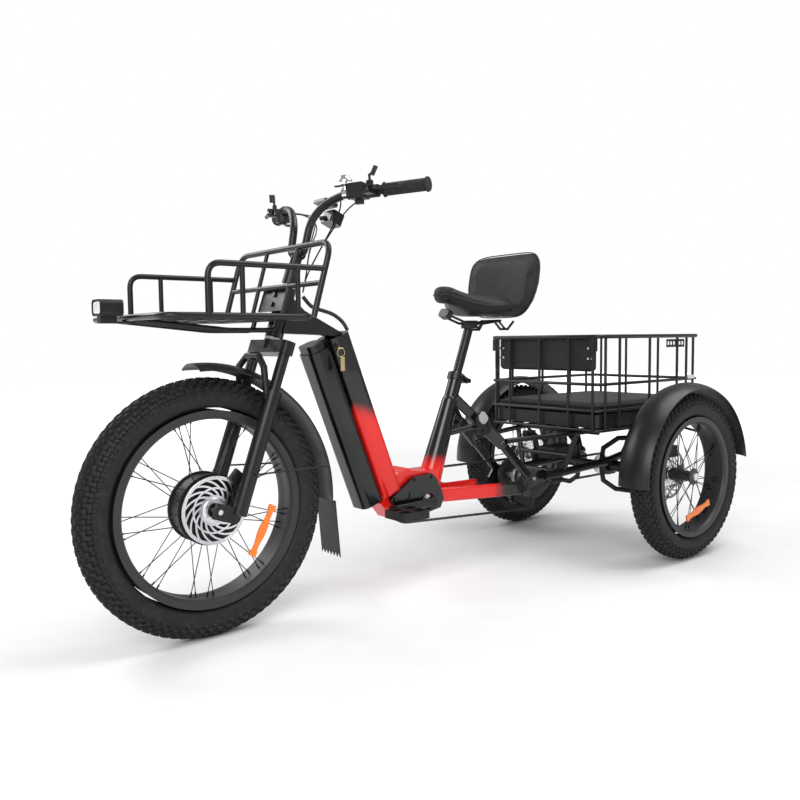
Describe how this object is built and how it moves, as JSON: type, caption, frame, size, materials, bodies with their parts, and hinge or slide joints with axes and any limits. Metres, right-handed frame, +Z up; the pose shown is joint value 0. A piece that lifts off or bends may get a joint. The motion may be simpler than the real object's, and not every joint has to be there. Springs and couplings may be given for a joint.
{
  "type": "adult tricycle",
  "caption": "Fat-tyre electric cargo tricycle with a motor front wheel, front rack, padded saddle with backrest and rear wire basket.",
  "frame": {"origin": "on the ground, under the middle of the tricycle's overall box", "axes": "the tricycle faces -Y, +X is the rider's left, +Z is up"},
  "size_m": [0.908, 2.3033, 1.2339],
  "materials": {
    "frame_red": "gloss red fading to black",
    "black_paint": "satin black paint",
    "rim_black": "satin black anodised",
    "tyre_rubber": "knobbly rubber",
    "silver_metal": "satin silver",
    "black_plastic": "moulded black",
    "lever_black": "anodised black",
    "red_button": "moulded red",
    "grip_rubber": "ribbed rubber",
    "vinyl": "black vinyl",
    "key_brass": "worn key"
  },
  "bodies": {
    "root": {"main_frame": "frame_red", "rear_cradle": "black_paint", "axle_housings": "black_paint", "bearings": "silver_metal", "stay_plates": "silver_metal", "battery": "black_plastic", "side_cover": "black_plastic", "front_rack": "black_paint", "rack_mount": "black_paint", "headlight": "black_plastic", "basket": "black_paint", "basket_cushions": "vinyl", "cushion_base": "black_plastic", "rear_fenders": "black_paint", "rear_calipers": "silver_metal", "chains": "silver_metal", "derailleur": "silver_metal", "controller_box": "black_plastic", "seat_clamp": "black_plastic", "cable_loop": "grip_rubber"},
    "key": {"key_ring": "key_brass"},
    "steering": {"fork_crown": "black_paint", "stem": "black_paint", "handlebar": "black_paint", "grips": "grip_rubber", "lever_clamps": "black_plastic", "control_box": "black_plastic", "display": "black_plastic", "bell": "silver_metal", "shifter_pod": "black_plastic"},
    "fork": {"fork_lowers": "black_paint", "front_fender": "black_paint", "front_caliper": "black_plastic"},
    "front_wheel": {"front_tyre": "tyre_rubber", "front_rim": "rim_black", "hub_motor": "rim_black"},
    "rear_wheel_left": {"rear_tyre_left": "tyre_rubber", "rear_rim_left": "rim_black", "rear_hub_left": "silver_metal"},
    "rear_wheel_right": {"rear_tyre_right": "tyre_rubber", "rear_rim_right": "rim_black", "rear_hub_right": "silver_metal"},
    "crank": {"crankset": "black_plastic"},
    "pedal_left": {"pedal_left": "black_plastic"},
    "pedal_right": {"pedal_right": "black_plastic"},
    "cassette": {"cassette": "silver_metal"},
    "jack_shaft": {"jack_sprocket": "silver_metal"},
    "derailleur_cage": {"derailleur_cage": "silver_metal"},
    "seat": {"seat_post": "silver_metal", "saddle": "vinyl", "backrest": "vinyl"},
    "qr_lever": {"qr_lever": "lever_black"},
    "brake_lever_left": {"brake_lever_left": "lever_black"},
    "brake_lever_right": {"brake_lever_right": "lever_black"},
    "park_catch_left": {"park_catch_left": "lever_black"},
    "park_catch_right": {"park_catch_right": "lever_black"},
    "shift_lever": {"shift_lever": "lever_black"},
    "throttle_lever": {"throttle_lever": "lever_black"},
    "bell_lever": {"bell_lever": "lever_black"},
    "horn_button": {"horn_button": "red_button"}
  },
  "joints": [
    {"name": "steer", "type": "hinge", "parent": "root", "child": "steering", "pos_m": [0, -0.74938, 0.345], "axis": [0, 0.3338, 0.9426], "range_deg": [-38, 38]},
    {"name": "fork_slide", "type": "slide", "parent": "steering", "child": "fork", "axis": [0, 0.3338, 0.9426], "range_m": [0, 0.045], "stiffness_N_per_m": 9000, "springref_m": -0.05},
    {"name": "front_wheel_spin", "type": "hinge", "parent": "fork", "child": "front_wheel", "pos_m": [0, -0.80667, 0.345], "axis": [1, 0, 0], "continuous": true},
    {"name": "rear_left_spin", "type": "hinge", "parent": "root", "child": "rear_wheel_left", "pos_m": [0.396, 0.82533, 0.292], "axis": [1, 0, 0], "continuous": true},
    {"name": "rear_right_spin", "type": "hinge", "parent": "root", "child": "rear_wheel_right", "pos_m": [-0.396, 0.82533, 0.292], "axis": [1, 0, 0], "continuous": true},
    {"name": "crank_spin", "type": "hinge", "parent": "root", "child": "crank", "pos_m": [0, -0.07567, 0.271], "axis": [1, 0, 0], "continuous": true},
    {"name": "pedal_left_spin", "type": "hinge", "parent": "crank", "child": "pedal_left", "pos_m": [0.086, -0.24567, 0.271], "axis": [1, 0, 0], "continuous": true},
    {"name": "pedal_right_spin", "type": "hinge", "parent": "crank", "child": "pedal_right", "pos_m": [-0.086, 0.09433, 0.271], "axis": [1, 0, 0], "continuous": true},
    {"name": "cassette_spin", "type": "hinge", "parent": "root", "child": "cassette", "pos_m": [0, 0.39333, 0.291], "axis": [1, 0, 0], "continuous": true},
    {"name": "jack_spin", "type": "hinge", "parent": "root", "child": "jack_shaft", "pos_m": [0, 0.39333, 0.291], "axis": [1, 0, 0], "continuous": true},
    {"name": "cage_swing", "type": "hinge", "parent": "root", "child": "derailleur_cage", "pos_m": [-0.05, 0.42533, 0.203], "axis": [1, 0, 0], "range_deg": [-12, 12], "stiffness_Nm_per_rad": 3, "deforming": ["chains"]},
    {"name": "saddle_height", "type": "slide", "parent": "root", "child": "seat", "axis": [0, 0.3453, 0.9385], "range_m": [-0.06, 0.08]},
    {"name": "quick_release", "type": "hinge", "parent": "root", "child": "qr_lever", "pos_m": [0, 0.12763, 0.64301], "axis": [1, 0, 0], "range_deg": [0, 75]},
    {"name": "brake_left", "type": "hinge", "parent": "steering", "child": "brake_lever_left", "pos_m": [0.24795, -0.44615, 1.17473], "axis": [-0.0191, -0.0087, 0.9998], "range_deg": [0, 8], "stiffness_Nm_per_rad": 2.5, "springref_deg": -5.73},
    {"name": "park_left", "type": "hinge", "parent": "steering", "child": "park_catch_left", "pos_m": [0.24524, -0.4364, 1.19477], "axis": [0.91, 0.4141, 0.0209], "range_deg": [0, 30]},
    {"name": "brake_right", "type": "hinge", "parent": "steering", "child": "brake_lever_right", "pos_m": [-0.24795, -0.44615, 1.17473], "axis": [-0.0191, 0.0087, -0.9998], "range_deg": [0, 8], "stiffness_Nm_per_rad": 2.5, "springref_deg": -5.73},
    {"name": "park_right", "type": "hinge", "parent": "steering", "child": "park_catch_right", "pos_m": [-0.24524, -0.4364, 1.19477], "axis": [0.91, -0.4141, -0.0209], "range_deg": [0, 30]},
    {"name": "shift", "type": "hinge", "parent": "steering", "child": "shift_lever", "pos_m": [-0.20345, -0.43344, 1.13799], "axis": [-0.0191, 0.0087, -0.9998], "range_deg": [0, 20], "stiffness_Nm_per_rad": 1},
    {"name": "throttle", "type": "hinge", "parent": "steering", "child": "throttle_lever", "pos_m": [-0.25306, -0.40428, 1.17519], "axis": [-0.91, 0.4141, 0.0209], "range_deg": [0, 25], "stiffness_Nm_per_rad": 1},
    {"name": "bell_strike", "type": "hinge", "parent": "steering", "child": "bell_lever", "pos_m": [0.15947, -0.45565, 1.19597], "axis": [-0.0191, -0.0087, 0.9998], "range_deg": [0, 25], "stiffness_Nm_per_rad": 0.5},
    {"name": "horn_press", "type": "slide", "parent": "steering", "child": "horn_button", "axis": [0.4141, -0.9102, 0], "range_m": [0, 0.002], "stiffness_N_per_m": 1200},
    {"name": "key_turn", "type": "hinge", "parent": "root", "child": "key", "pos_m": [0.048, -0.41695, 0.76], "axis": [1, 0, 0], "range_deg": [-90, 0]}
  ],
  "couplings": [
    {"joint": "cassette_spin", "follows": "crank_spin", "ratio": 1.5},
    {"joint": "jack_spin", "follows": "rear_right_spin", "ratio": 1}
  ]
}
